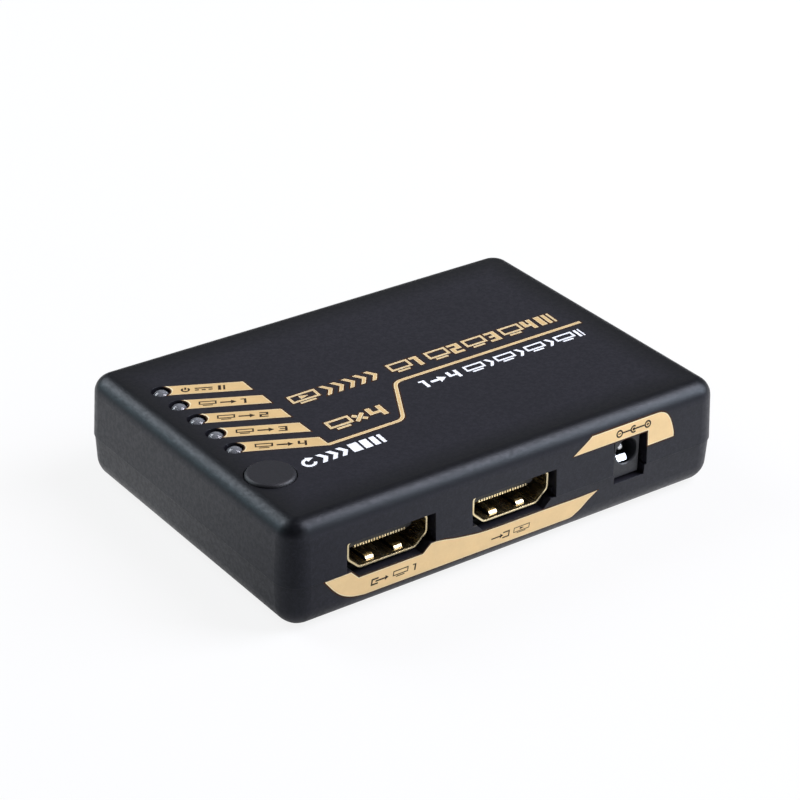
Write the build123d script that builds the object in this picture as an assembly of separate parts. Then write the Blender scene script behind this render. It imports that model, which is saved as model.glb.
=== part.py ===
from build123d import *
from math import radians, tan
import os

# A mini video splitter: one input and four outputs in a moulded case of two halves.
# Millimetres. X runs along the front, the input side is at -Y, Z is up.
# The origin is at the middle of the case, on the surface that it stands on.
os.makedirs("parts", exist_ok=True)

# Case, both halves
case_length = 83.3
case_depth = 59.3
case_height = 18.3
parting_lift = 0.65
corner_radius = 4.0
top_round = 3.0
base_round = 3.8
top_draft = 2.74
base_draft = 3.26
wall = 2.0
roof = 2.0
floor = 2.0
parting_step = 0.1
lip_thickness = 0.9
lip_height = 1.2
lip_clearance = 0.1
rib_thickness = 1.0
overrun = 1.0

# Circuit board
board_share = 0.3962
board_thickness = 1.6
board_edge_gap = 0.55
board_corner = 1.0
hole_clearance = 0.15
support_diameter = 4.0
support_shares = [(-0.24, 0.0), (0.24, 0.0)]

# Case screws, with their posts in the top cover and bosses in the bottom one
post_inset = 5.65
post_diameter = 5.4
boss_wall = 0.8
screw_seat = 3.6
screw_length = 9.0
screw_core = 2.2
screw_head = 4.4
screw_head_height = 1.6
screw_head_chamfer = 0.5
screw_slot = 0.6
screw_slot_length = 2.6
screw_slot_depth = 0.9
screw_head_clearance = 0.3
screw_clearance = 0.4
pilot_clearance = 0.05
pilot_spare = 0.8

# Video port: a folded metal shell round an insulator with a tongue and two rows of contacts
port_post_gap = 2.9
port_shift = -0.12
port_recess = 1.2
port_width = 14.0
port_height = 4.55
port_floor_width = 10.0
port_shoulder = 1.85
port_corner = 0.5
port_bend = 0.9
port_sheet = 0.3
port_length = 12.0
port_fit = 0.03
leg_places = [2.6, 9.4]
leg_width = 1.2
leg_depth = 2.2
finger_spread = 5.2
finger_width = 1.4
finger_gap = 0.35
finger_front = 0.85
finger_hump = [(1.0, -0.05), (1.12, 0.28), (1.32, 0.5), (1.6, 0.62), (2.1, 0.62)]
finger_root = 7.2
tongue_front = 2.15
tongue_width = 11.1
tongue_thickness = 1.1
tongue_lift = 2.2
block_front = 7.9
block_rear = 10.7
contact_count = 19
contact_pitch = 0.5
contact_width = 0.28
contact_thickness = 0.15
contact_show = 0.45
nose_sheet = 0.2
contact_drop = 0.3
contact_foot = 0.9
slot_clearance = 0.05

# Windows in the two covers round a port
window_side_gap = 0.8
window_top_gap = 0.4
window_floor_gap = 0.8
window_ledge = 0.95
window_floor_ledge = 0.45

# DC power jack
jack_inset = 18.8
jack_recess = 1.1
jack_width = 5.0
jack_body_width = 6.0
jack_axis = 3.6
jack_crown = 2.5
jack_lip = 0.65
jack_length = 12.0
jack_bore = 4.3
jack_bore_depth = 9.2
jack_mouth_chamfer = 0.2
jack_round = 0.4
jack_edge_gap = 0.1
jack_pin = 1.3
jack_pin_recess = 1.45
jack_pin_round = 0.45
jack_pin_root = 1.8
jack_pin_flange = 2.6
jack_terminal = 0.3
jack_terminal_width = 1.6
jack_tail = 2.4
spring_width = 2.0
spring_sheet = 0.2
spring_tip = 0.95
spring_tip_lift = -0.1
spring_rise = 1.55
spring_hump = 2.3
spring_hump_lift = 0.68
spring_bed = 0.35
spring_root = 7.6
jack_window_side_gap = 0.9
jack_window_gap = 0.45
jack_window_ledge = 0.3

# Indicator lights
light_inset = 6.95
light_front_share = 0.407
light_pitch_share = 0.1115
light_names = ["output_4", "output_3", "output_2", "output_1", "power"]
light_diameter = 3.0
light_hole = 3.3
light_proud = 0.15
light_body = 5.65
light_flange = 3.8
light_flange_height = 1.0
lead_width = 0.5
lead_pitch = 2.54
lead_tail = 1.0

# Reset button, with the switch below it
button_inset = 7.05
button_front_share = 0.205
button_diameter = 7.9
button_hole = 8.2
button_proud = 0.45
button_round = 0.6
button_flange = 9.6
button_flange_height = 0.8
button_roof_gap = 0.12
button_stem = 2.8
button_rib = 1.0
button_rib_span = 6.0
button_rib_share = 0.7
button_key = 1.6
button_key_reach = 1.0
key_clearance = 0.2
guide_height = 2.4
switch_size = 6.0
switch_base_height = 3.3
switch_cavity = 4.8
switch_cavity_depth = 1.7
switch_corner = 0.6
switch_sheet = 0.3
switch_ear = 1.4
switch_ear_width = 1.6
switch_height = 5.0
plunger_diameter = 3.5
plunger_flange = 4.4
plunger_flange_height = 0.5
plunger_nub = 1.4
plunger_gap = 0.1
dome_diameter = 4.5
dome_rise = 0.4
dome_thickness = 0.08
dome_top_share = 0.45
switch_pin_width = 0.7
switch_pin_thickness = 0.3
switch_pin_spread = 4.5
switch_pin_reach = 0.35
switch_pin_tail = 2.6

# Parts on the board; their places are shares of the board's length and depth
chip_size = 14.0
chip_height = 1.4
chip_lift = 0.1
chip_chamfer = 0.8
chip_lead_count = 16
chip_lead_pitch = 0.8
chip_lead_width = 0.35
memory_length = 4.9
memory_width = 3.9
memory_height = 1.5
memory_lead_count = 4
memory_lead_pitch = 1.27
memory_lead_width = 0.4
regulator_length = 6.5
regulator_width = 3.5
regulator_height = 1.6
regulator_lead_count = 3
regulator_lead_pitch = 2.3
regulator_lead_width = 0.7
regulator_tab_width = 3.0
regulator_tab_reach = 1.6
lead_sheet = 0.15
lead_foot = 0.6
lead_shoulder = 0.35
crystal_length = 10.2
crystal_width = 3.8
crystal_height = 3.5
crystal_rim = 0.45
crystal_rim_height = 0.5
can_diameter = 6.3
can_height = 5.0
can_groove = 0.3
can_groove_height = 1.3
can_chamfer = 0.4
can_base = 6.6
can_base_height = 0.8
can_base_chamfer = 1.4
inductor_size = 5.0
inductor_height = 2.8
inductor_corner = 1.0
inductor_flange_height = 0.6
inductor_waist = 0.5
ceramic_size = (2.0, 1.25, 0.9)
ceramic_gap = 0.85
resistor_size = (1.6, 0.8, 0.45)
chip_shares = (0.0, 0.03)
memory_shares = (-0.21, 0.14)
regulator_shares = (0.21, -0.14)
crystal_shares = (0.2, 0.12)
can_shares = (0.4, -0.17)
inductor_shares = (0.31, 0.0)
ceramic_side_shares = [-0.4, 0.0, 0.4]
ceramic_shares = [(0.42, -0.02), (0.42, 0.06), (0.3, -0.16)]
resistor_shares = [(-0.38, -0.02), (-0.38, 0.08), (-0.38, 0.18), (-0.38, 0.28), (-0.36, -0.13),
                   (-0.3, -0.1), (-0.26, -0.1), (-0.3, 0.18), (-0.26, 0.18), (0.26, 0.18), (0.3, 0.18)]

# Sizes and places that follow from those above
board_top = board_share * case_height
parting_height = board_top + parting_lift
base_length = case_length - 2 * parting_step
base_depth = case_depth - 2 * parting_step
board_length = base_length - 2 * (wall + board_edge_gap)
board_depth = base_depth - 2 * (wall + board_edge_gap)
board_bottom = board_top - board_thickness
roof_inside = case_height - roof
post_places = [(sx * (case_length / 2 - post_inset), sy * (case_depth / 2 - post_inset))
               for sx in (-1, 1) for sy in (-1, 1)]
counterbore = screw_head + 2 * screw_head_clearance
port_outer_width = port_width + 2 * port_sheet
port_outer_height = port_height + 2 * port_sheet
port_pitch = case_length / 2 - post_inset - post_diameter / 2 - port_outer_width / 2 - port_post_gap
port_y = case_depth / 2 - port_recess
tongue_low = port_sheet + tongue_lift
tongue_high = tongue_low + tongue_thickness
drop_y = block_rear + contact_drop
jack_x = case_length / 2 - jack_inset
jack_y = -case_depth / 2 + jack_recess
jack_board_edge = -jack_y - board_depth / 2
light_x = -case_length / 2 + light_inset
post_front = -case_depth / 2 + post_inset
post_span = case_depth - 2 * post_inset
light_top = case_height + light_proud
light_base = light_top - light_body
button_x = -case_length / 2 + button_inset
button_y = post_front + button_front_share * post_span
button_top = case_height + button_proud
flange_top = roof_inside - button_roof_gap
flange_base = flange_top - button_flange_height
wall_lean = tan(radians(top_draft)) * (roof_inside - parting_height)
button_flat = button_inset - wall - wall_lean - button_roof_gap
switch_top = board_top + switch_height


def light_y(index):
    """Place of a light along the row of lights, counted from the front."""
    return post_front + (light_front_share + index * light_pitch_share) * post_span


def cylinder(diameter, low, high, x=0, y=0):
    """Upright cylinder between two heights."""
    return Pos(x, y, low) * Cylinder(diameter / 2, high - low, align=(Align.CENTER, Align.CENTER, Align.MIN))


def block(length, depth, low, high, x=0, y=0):
    """Upright box between two heights, centred on a place."""
    return Pos(x, y, low) * Box(length, depth, high - low, align=(Align.CENTER, Align.CENTER, Align.MIN))


def ribbon(path, thickness):
    """Outline of a strip of even thickness that lies to the left of a path of points."""
    points = [Vector(a, b) for a, b in path]
    runs = [(q - p).normalized() for p, q in zip(points, points[1:])]
    side = []
    for point, before, after in zip(points, runs[:1] + runs, runs + runs[-1:]):
        across = Vector(-before.Y - after.Y, before.X + after.X)
        side.append(point + across * (2 * thickness / across.dot(across)))
    return make_face(Polyline(*points, *reversed(side), close=True))


def strip(path, thickness, width, x=0):
    """Bent metal strip: a ribbon drawn in the Y-Z plane and given a width along X."""
    return extrude(Plane.YZ.offset(x - width / 2) * ribbon(path, thickness), amount=width)


def drafted(length, depth, radius, height, draft, way):
    """Block that starts at the parting line and narrows away from it."""
    start = Plane(origin=(0, 0, parting_height), x_dir=(1, 0, 0), z_dir=(0, 0, way))
    return extrude(start * RectangleRounded(length, depth, radius), amount=height, taper=draft)


def cover_shell(length, depth, height, draft, way, edge_round, skin):
    """Hollow half of the case, open at the parting line."""
    outer = drafted(length, depth, corner_radius, height, draft, way)
    far = outer.edges().group_by(Axis.Z)[-1 if way > 0 else 0]
    inner = drafted(length - 2 * wall, depth - 2 * wall, corner_radius - wall, height - skin, draft, way)
    return fillet(far, edge_round) - inner


def lip_ring(grow, height):
    """Lip that stands on the inner part of the bottom cover's wall, grown for the groove that takes it."""
    inset = 2 * (wall - lip_thickness - grow)
    outside = RectangleRounded(base_length - inset, base_depth - inset, corner_radius - inset / 2)
    inside = RectangleRounded(base_length - 2 * wall, base_depth - 2 * wall, corner_radius - wall)
    return Pos(0, 0, parting_height) * extrude(outside - inside, amount=height)


def port_spots():
    """Every port's name with its place on the board: across, and which side it faces."""
    front = [("output_1", port_shift - port_pitch, -1), ("input", port_shift, -1)]
    back = [(f"output_{n + 2}", -port_pitch + n * port_pitch, 1) for n in range(3)]
    return front + back


def set_port(piece, x, side):
    """Moves a piece drawn at the front, rim at Y = 0 and board at Z = 0, to its port's place."""
    turn = Rot(0, 0, 0) if side < 0 else Rot(0, 0, 180)
    return Pos(x, side * port_y, board_top) * turn * piece


def port_window(x, side, upper):
    """Cut through a cover's wall round a port: straight in the top cover, following the port below."""
    half = port_outer_width / 2 + window_side_gap
    high = board_top + port_outer_height + window_top_gap
    low = board_top - window_floor_gap
    ledge = half - window_ledge
    floor_half = port_floor_width / 2 + port_sheet + window_floor_ledge
    above = [(-half, parting_height), (-half, high), (half, high), (half, parting_height)]
    below = [(-ledge, parting_height), (ledge, parting_height), (floor_half, low), (-floor_half, low)]
    face = make_face(Polyline(*above, close=True))
    if not upper:
        face = face + make_face(Polyline(*below, close=True))
    reach = wall + lip_thickness + overrun
    cut = extrude(Plane.XZ * face, amount=reach, both=True)
    return Pos(x, side * case_depth / 2, 0) * cut


def jack_window(upper):
    """Cut through the front wall round the power jack."""
    half = jack_width / 2 + jack_window_side_gap
    high = board_top + jack_axis + jack_crown + jack_window_gap
    low = board_top - jack_lip - jack_window_gap
    reach = 2 * (wall + lip_thickness + overrun)
    cut = block(2 * half, reach, parting_height, high, jack_x, -case_depth / 2)
    if not upper:
        cut += block(2 * (half - jack_window_ledge), reach, low, parting_height, jack_x, -case_depth / 2)
    return cut


def windows(upper):
    """All the cuts round the connectors, for one cover."""
    cuts = jack_window(upper)
    for name, x, side in port_spots():
        cuts += port_window(x, side, upper)
    return cuts


def make_top_cover():
    """Top half of the case, with its screw posts, light holes, button hole and key guides."""
    height = case_height - parting_height
    cover = cover_shell(case_length, case_depth, height, top_draft, 1, top_round, roof)
    cover -= lip_ring(lip_clearance, lip_height + lip_clearance)
    rib_base = parting_height + lip_height + 2 * lip_clearance
    for x, y in post_places:
        reach_x = case_length / 2 - wall / 2 - abs(x)
        reach_y = case_depth / 2 - wall / 2 - abs(y)
        way_x, way_y = (1 if x > 0 else -1), (1 if y > 0 else -1)
        ribs = block(reach_x, rib_thickness, rib_base, roof_inside, x + way_x * reach_x / 2, y)
        ribs += block(rib_thickness, reach_y, rib_base, roof_inside, x, y + way_y * reach_y / 2)
        cover += cylinder(post_diameter, board_top, roof_inside, x, y) + ribs
    for x, y in post_places:
        tip = screw_seat + screw_length
        cover -= cylinder(screw_core + 2 * pilot_clearance, board_top - overrun, tip + pilot_spare, x, y)
    for index in range(len(light_names)):
        cover -= cylinder(light_hole, roof_inside - overrun, case_height + overrun, light_x, light_y(index))
    cover -= cylinder(button_hole, roof_inside - overrun, case_height + overrun, button_x, button_y)
    guide_x = button_x + (button_flange + button_key_reach) / 2 + key_clearance
    for way in (-1, 1):
        guide_y = button_y + way * (button_key / 2 + key_clearance + rib_thickness / 2)
        guide_low = roof_inside - guide_height
        cover += block(button_key_reach, rib_thickness, guide_low, roof_inside, guide_x, guide_y)
    return cover - windows(upper=True)


def make_bottom_cover():
    """Bottom half of the case, with its lip, screw bosses, head recesses and board supports."""
    cover = cover_shell(base_length, base_depth, parting_height, base_draft, -1, base_round, floor)
    cover += lip_ring(0, lip_height)
    for x, y in post_places:
        cover += cylinder(counterbore + 2 * boss_wall, floor, board_bottom, x, y)
    for x_share, y_share in support_shares:
        x, y = x_share * board_length, y_share * board_depth
        cover += cylinder(support_diameter, floor, board_bottom, x, y)
    for x, y in post_places:
        cover -= cylinder(counterbore, -overrun, screw_seat, x, y)
        cover -= cylinder(screw_core + screw_clearance, 0, board_bottom + overrun, x, y)
    return cover - windows(upper=False)


def make_case_screws():
    """Four self-tapping screws with cross recesses in their heads."""
    screws = []
    head_low = screw_seat - screw_head_height
    for x, y in post_places:
        head = cylinder(screw_head, head_low, screw_seat, x, y)
        head = chamfer(head.edges().group_by(Axis.Z)[0], screw_head_chamfer)
        shank = cylinder(screw_core, screw_seat, screw_seat + screw_length, x, y)
        tip = shank.edges().group_by(Axis.Z)[-1]
        screw = head + chamfer(tip, screw_core / 4)
        for length, depth in ((screw_slot, screw_slot_length), (screw_slot_length, screw_slot)):
            screw -= block(length, depth, head_low - overrun, head_low + screw_slot_depth, x, y)
        screws.append(screw)
    return screws


def make_board():
    """Circuit board, with holes for the screws and for every leg that is soldered through it."""
    outline = RectangleRounded(board_length, board_depth, board_corner)
    board = Pos(0, 0, board_bottom) * extrude(outline, amount=board_thickness)
    low, high = board_bottom - overrun, board_top + overrun
    for x, y in post_places:
        board -= cylinder(screw_core + screw_clearance, low, high, x, y)
    gap = 2 * hole_clearance
    leg_x = port_width / 2 + port_sheet / 2
    for name, x, side in port_spots():
        for place in leg_places:
            for way in (-1, 1):
                board -= block(port_sheet + gap, leg_width + gap, low, high, x + way * leg_x,
                               side * (port_y - place))
    for index in range(len(light_names)):
        for way in (-1, 1):
            board -= block(lead_width + gap, lead_width + gap, low, high, light_x + way * lead_pitch / 2,
                           light_y(index))
    for x, y in switch_pin_spots():
        board -= block(switch_pin_thickness + gap, switch_pin_width + gap, low, high, x, y)
    for rear, sheet in ((spring_root, spring_sheet), (jack_length + jack_terminal, jack_terminal)):
        board -= block(jack_terminal_width + gap, sheet + gap, low, high, jack_x, jack_y + rear - sheet / 2)
    return board


def port_section(grow):
    """Mouth of a port, wider at the roof than at the floor, grown or shrunk all round."""
    roof_half, floor_half = port_width / 2, port_floor_width / 2
    corners = [(-roof_half, port_height), (roof_half, port_height), (roof_half, port_shoulder),
               (floor_half, 0), (-floor_half, 0), (-roof_half, port_shoulder)]
    face = make_face(Polyline(*corners, close=True))
    by_height = face.vertices().group_by(Axis.Y)
    face = fillet(by_height[0] + by_height[1], port_bend)
    face = fillet(face.vertices().group_by(Axis.Y)[-1], port_corner)
    return offset(face, amount=grow) if grow else face


def port_prism(grow, front, rear):
    """The port's section, drawn from one depth behind the rim to another."""
    face = Pos(0, front, port_sheet) * (Plane.XZ * port_section(grow))
    return extrude(face, amount=rear - front, dir=(0, 1, 0))


def spring_finger(x):
    """Leaf that is cut free in the port's floor, with a hump near its tip that presses on a plug."""
    path = finger_hump + [(finger_root, 0), (finger_root + port_sheet, 0)]
    return strip(path, port_sheet, finger_width, x)


def make_port_shell():
    """Folded sheet shell with four board legs and spring fingers in its floor and roof."""
    shell = port_prism(port_sheet, 0, port_length) - port_prism(0, -overrun, port_length - port_sheet)
    tails_high = port_sheet + port_shoulder
    tails_rear = port_length + overrun
    shell -= Pos(0, (block_rear + tails_rear) / 2, 0) * block(
        port_outer_width + overrun, tails_rear - block_rear, -overrun, tails_high)
    middle = Plane.XY.offset(port_outer_height / 2)
    slot_length = finger_root - finger_front
    slot_width = finger_width + 2 * finger_gap
    for way in (-1, 1):
        x = way * finger_spread / 2
        slot_high = port_sheet + port_sheet / 2
        slot = Pos(x, finger_front + slot_length / 2, 0) * block(slot_width, slot_length, -overrun, slot_high)
        finger = spring_finger(x)
        shell = shell - slot - mirror(slot, about=middle)
        shell = shell + finger + mirror(finger, about=middle)
        for place in leg_places:
            leg_x = way * (port_width / 2 + port_sheet / 2)
            shell += block(port_sheet, leg_width, -leg_depth, tails_high + port_bend, leg_x, place)
    return shell


def make_port_insulator():
    """Moulded block at the back of a port, with the tongue that carries the contacts."""
    body = port_prism(-port_fit, block_front, block_rear)
    tongue_length = block_rear - tongue_front
    body += block(tongue_width, tongue_length, tongue_low, tongue_high, 0, tongue_front + tongue_length / 2)
    nose_length = nose_sheet + contact_thickness + slot_clearance
    body += block(tongue_width, nose_length, tongue_low + contact_show, tongue_high, 0,
                  tongue_front - nose_length / 2)
    row_width = (contact_count - 1) * contact_pitch + contact_width + 2 * slot_clearance
    slot_depth = contact_thickness + slot_clearance
    slot_length = block_rear - block_front + 2 * overrun
    slot_y = (block_front + block_rear) / 2
    body -= block(row_width, slot_length, tongue_high, tongue_high + slot_depth, 0, slot_y)
    body -= block(row_width, slot_length, tongue_low - slot_depth, tongue_low, 0, slot_y)
    return body - block(row_width, slot_depth, tongue_low, tongue_high, 0, tongue_front - slot_depth / 2)


def make_port_contacts():
    """Two rows of strips whose tips show below the tongue's nose; their feet are on the board."""
    tip_low = tongue_low - contact_thickness
    upper = [(tongue_front, tip_low), (tongue_front, tongue_high), (drop_y - contact_thickness, tongue_high),
             (drop_y - contact_thickness, 0), (drop_y + contact_foot, 0)]
    lower = [(drop_y + contact_foot, contact_thickness), (drop_y, contact_thickness), (drop_y, tongue_low),
             (tongue_front, tongue_low), (tongue_front, tongue_low + contact_show)]
    strips = []
    for index in range(contact_count):
        x = (index - (contact_count - 1) / 2) * contact_pitch
        path = lower if index % 2 else upper
        strips.append(strip(path, contact_thickness, contact_width, x))
    return strips


def set_jack(piece):
    """Moves a piece drawn with the jack's face at Y = 0 and the board at Z = 0 to its place."""
    return Pos(jack_x, jack_y, board_top) * piece


def jack_cylinder(diameter, front, rear):
    """Cylinder on the jack's axis, from one depth behind its face to another."""
    circle = Pos(0, front, jack_axis) * (Plane.XZ * Circle(diameter / 2))
    return extrude(circle, amount=rear - front, dir=(0, 1, 0))


def jack_outline(width, low, front, rear):
    """Upright stretch of the jack's housing with rounded top edges."""
    body = block(width, rear - front, low, jack_axis + jack_crown, 0, (front + rear) / 2)
    top_sides = body.edges().filter_by(Axis.Y).group_by(Axis.Z)[-1]
    return fillet(top_sides, jack_round)


def spring_path():
    """Side view of the sleeve spring, from its tip to its terminal."""
    bed = jack_axis - jack_bore / 2
    return [(spring_tip, bed + spring_tip_lift), (spring_rise, bed + spring_hump_lift),
            (spring_hump, bed + spring_hump_lift), (spring_root - spring_bed, bed - spring_bed),
            (spring_root - spring_sheet, bed - spring_bed), (spring_root - spring_sheet, -jack_tail)]


def make_jack_housing():
    """Moulded housing: a nose that overhangs the board's edge, the plug's bore and the terminal slots."""
    nose_rear = jack_board_edge - jack_edge_gap
    housing = jack_outline(jack_width, -jack_lip, 0, nose_rear)
    housing += jack_outline(jack_body_width, 0, nose_rear, jack_length)
    housing -= jack_cylinder(jack_bore, -overrun, jack_bore_depth)
    mouth = housing.edges().filter_by(GeomType.CIRCLE).group_by(SortBy.RADIUS)[-1].sort_by(Axis.Y)[0]
    housing = chamfer(mouth, jack_mouth_chamfer)
    housing -= jack_cylinder(jack_pin_root + 2 * port_fit, 0, jack_length + overrun)
    bed = jack_axis - jack_bore / 2 - spring_bed
    slot_width = spring_width + 2 * slot_clearance
    slot_high = jack_axis - jack_bore / 4
    slot_low = bed - slot_clearance
    slot_front = jack_recess / 4
    slot_rear = spring_root + slot_clearance
    housing -= block(slot_width, slot_rear - slot_front, slot_low, slot_high, 0, (slot_front + slot_rear) / 2)
    foot_front = spring_root - spring_sheet - slot_clearance
    housing -= block(slot_width, slot_rear - foot_front, -overrun, bed, 0, (foot_front + slot_rear) / 2)
    return housing


def make_jack_pin():
    """Centre pin: rounded tip, thicker root in the housing, head behind it and a board terminal."""
    pin = jack_cylinder(jack_pin, jack_pin_recess, jack_length)
    pin = fillet(pin.edges().group_by(Axis.Y)[0], jack_pin_round)
    pin += jack_cylinder(jack_pin_root, jack_bore_depth, jack_length)
    pin += jack_cylinder(jack_pin_flange, jack_length, jack_length + jack_terminal)
    terminal = block(jack_terminal_width, jack_terminal, -jack_tail, jack_axis, 0,
                     jack_length + jack_terminal / 2)
    return pin + terminal


def make_jack_spring():
    """Leaf that presses on the plug's sleeve, with its board terminal."""
    leaf = strip(spring_path()[:-1], spring_sheet, spring_width)
    tail = strip(spring_path()[-3:], spring_sheet, jack_terminal_width)
    return leaf + tail


def make_light(index):
    """Clear epoxy body of a light: flange, barrel and dome."""
    radius, flange = light_diameter / 2, light_flange / 2
    dome_base = light_top - radius
    flange_top_z = light_base + light_flange_height
    outline = Polyline((0, dome_base), (0, light_base), (flange, light_base), (flange, flange_top_z),
                       (radius, flange_top_z), (radius, dome_base))
    dome = CenterArc((0, dome_base), radius, 0, 90)
    spine = Line((0, light_top), (0, dome_base))
    body = revolve(Plane.XZ * make_face(outline + dome + spine), Axis.Z)
    return Pos(light_x, light_y(index), 0) * body


def make_light_leads():
    """Two square leads below each light, through the board."""
    leads = []
    for index in range(len(light_names)):
        for way in (-1, 1):
            x = light_x + way * lead_pitch / 2
            low = board_bottom - lead_tail
            leads.append(block(lead_width, lead_width, low, light_base, x, light_y(index)))
    return leads


def make_button():
    """Reset button: cap, keeper flange with a key and a flat beside the wall, and a ribbed stem."""
    cap = cylinder(button_diameter, flange_top, button_top)
    cap = fillet(cap.edges().group_by(Axis.Z)[-1], button_round)
    flange = cylinder(button_flange, flange_base, flange_top)
    wall_side = block(button_flange, button_flange, flange_base - overrun, flange_top + overrun,
                      -button_flat - button_flange / 2)
    cap += flange - wall_side
    key_length = button_key_reach + button_flange / 4
    key_x = button_flange / 2 + button_key_reach - key_length / 2
    cap += block(key_length, button_key, flange_base, flange_top, key_x)
    cap += cylinder(button_stem, switch_top, flange_base)
    rib_low = flange_base - button_rib_share * (flange_base - switch_top)
    cap += block(button_rib_span, button_rib, rib_low, flange_base)
    cap += block(button_rib, button_rib_span, rib_low, flange_base)
    return Pos(button_x, button_y, 0) * cap


def set_switch(piece):
    """Moves a piece of the switch, drawn with the board at Z = 0, under the button."""
    return Pos(button_x, button_y, board_top) * piece


def make_switch_base():
    """Moulded base of the switch with a round well for the dome and plunger."""
    base = block(switch_size, switch_size, 0, switch_base_height)
    base = chamfer(base.edges().filter_by(Axis.Z), switch_corner)
    return base - cylinder(switch_cavity, dome_height(), switch_base_height + overrun)


def dome_height():
    """Height of the dome's underside rim above the board."""
    return switch_base_height - switch_cavity_depth


def make_switch_dome():
    """Thin metal snap dome: a shallow raised disc whose skirt slopes down to its rim."""
    rim, low = dome_diameter / 2, dome_height()
    crown, high = rim * dome_top_share, low + dome_rise
    under = [(0, high), (crown, high), (rim - dome_thickness, low)]
    over = [(rim, low), (crown, high + dome_thickness), (0, high + dome_thickness)]
    return revolve(Plane.XZ * make_face(Polyline(*under, *over, close=True)), Axis.Z)


def make_switch_plunger():
    """Plunger: a nub on the dome, a flange kept by the metal cover, and a round stem."""
    nub_low = dome_height() + dome_rise + dome_thickness
    flange_high = switch_base_height - plunger_gap
    flange_low = flange_high - plunger_flange_height
    plunger = cylinder(plunger_nub, nub_low, flange_low) + cylinder(plunger_flange, flange_low, flange_high)
    return plunger + cylinder(plunger_diameter, flange_high, switch_height)


def make_switch_cover():
    """Metal cover over the base, with a hole for the plunger and two ears folded down the sides."""
    high = switch_base_height + switch_sheet
    cover = block(switch_size, switch_size, switch_base_height, high)
    cover = chamfer(cover.edges().filter_by(Axis.Z), switch_corner)
    for way in (-1, 1):
        y = way * (switch_size + switch_sheet) / 2
        cover += block(switch_ear_width, switch_sheet, high - switch_ear, high, 0, y)
    return cover - cylinder(plunger_diameter + 2 * plunger_gap, 0, high + overrun)


def switch_pin_spots():
    """Places of the switch's four terminals on the board."""
    reach = switch_size / 2 + switch_pin_reach + switch_pin_thickness / 2
    return [(button_x + sx * reach, button_y + sy * switch_pin_spread / 2)
            for sx in (-1, 1) for sy in (-1, 1)]


def make_switch_terminals():
    """Four terminals that leave the sides of the base and go down through the board."""
    pins = []
    shelf = board_top + switch_base_height / 3
    for x, y in switch_pin_spots():
        leg = block(switch_pin_thickness, switch_pin_width, board_top - switch_pin_tail,
                    shelf + switch_pin_thickness, x, y)
        inward = -1 if x > button_x else 1
        arm_x = x + inward * (switch_pin_reach + switch_pin_thickness) / 2
        arm = block(switch_pin_reach, switch_pin_width, shelf, shelf + switch_pin_thickness, arm_x, y)
        pins.append(leg + arm)
    return pins


def on_board(shares):
    """Place on the board that a pair of shares gives."""
    return shares[0] * board_length, shares[1] * board_depth


def gull_lead(side, body_half, lift, height, width, x):
    """Lead that leaves a package's side at mid-height and steps down to a foot on the board."""
    knee = body_half + lead_shoulder
    middle = lift + height / 2
    heel = knee + lead_shoulder
    path = [(body_half, middle), (knee, middle), (heel, 0), (heel + lead_foot, 0)]
    lead = strip(path, lead_sheet, width, x)
    return Rot(0, 0, 180) * lead if side < 0 else lead


def lead_row(count, pitch):
    """Places of the leads along one side of a package."""
    return [(index - (count - 1) / 2) * pitch for index in range(count)]


def set_on_board(piece, shares, turn=0):
    """Moves a piece drawn at the origin to its place on the board."""
    x, y = on_board(shares)
    return Pos(x, y, board_top) * Rot(0, 0, turn) * piece


def make_chip():
    """Splitter chip: flat square package with a chamfered corner for its first pin."""
    body = block(chip_size, chip_size, chip_lift, chip_lift + chip_height)
    first = body.edges().filter_by(Axis.Z).group_by(Axis.X)[0].sort_by(Axis.Y)[0]
    return set_on_board(chamfer(first, chip_chamfer), chip_shares)


def make_chip_leads():
    """Leads on the four sides of the splitter chip."""
    leads = []
    for turn in (0, 90, 180, 270):
        for x in lead_row(chip_lead_count, chip_lead_pitch):
            lead = gull_lead(1, chip_size / 2, chip_lift, chip_height, chip_lead_width, x)
            leads.append(set_on_board(lead, chip_shares, turn))
    return leads


def make_memory():
    """Setup memory in a small package."""
    body = block(memory_length, memory_width, chip_lift, chip_lift + memory_height)
    return set_on_board(body, memory_shares)


def make_memory_leads():
    """Leads on two sides of the memory."""
    leads = []
    for side in (-1, 1):
        for x in lead_row(memory_lead_count, memory_lead_pitch):
            lead = gull_lead(side, memory_width / 2, chip_lift, memory_height, memory_lead_width, x)
            leads.append(set_on_board(lead, memory_shares))
    return leads


def make_regulator():
    """Voltage regulator in a package with a cooling tab."""
    body = block(regulator_length, regulator_width, chip_lift, chip_lift + regulator_height)
    return set_on_board(body, regulator_shares)


def make_regulator_leads():
    """Three leads on one side of the regulator and the tab on the other."""
    leads = [gull_lead(-1, regulator_width / 2, chip_lift, regulator_height, regulator_lead_width, x)
             for x in lead_row(regulator_lead_count, regulator_lead_pitch)]
    leads.append(block(regulator_tab_width, regulator_tab_reach, 0, lead_sheet * 2, 0,
                       regulator_width / 2 + regulator_tab_reach / 2))
    return [set_on_board(lead, regulator_shares) for lead in leads]


def make_crystal():
    """Clock crystal: a drawn metal can with a rim round its foot."""
    def can(grow):
        return SlotOverall(crystal_length + 2 * grow, crystal_width + 2 * grow)
    body = extrude(can(0), amount=crystal_height)
    body = chamfer(body.edges().group_by(Axis.Z)[-1], crystal_rim)
    return set_on_board(body + extrude(can(crystal_rim), amount=crystal_rim_height), crystal_shares, 90)


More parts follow.
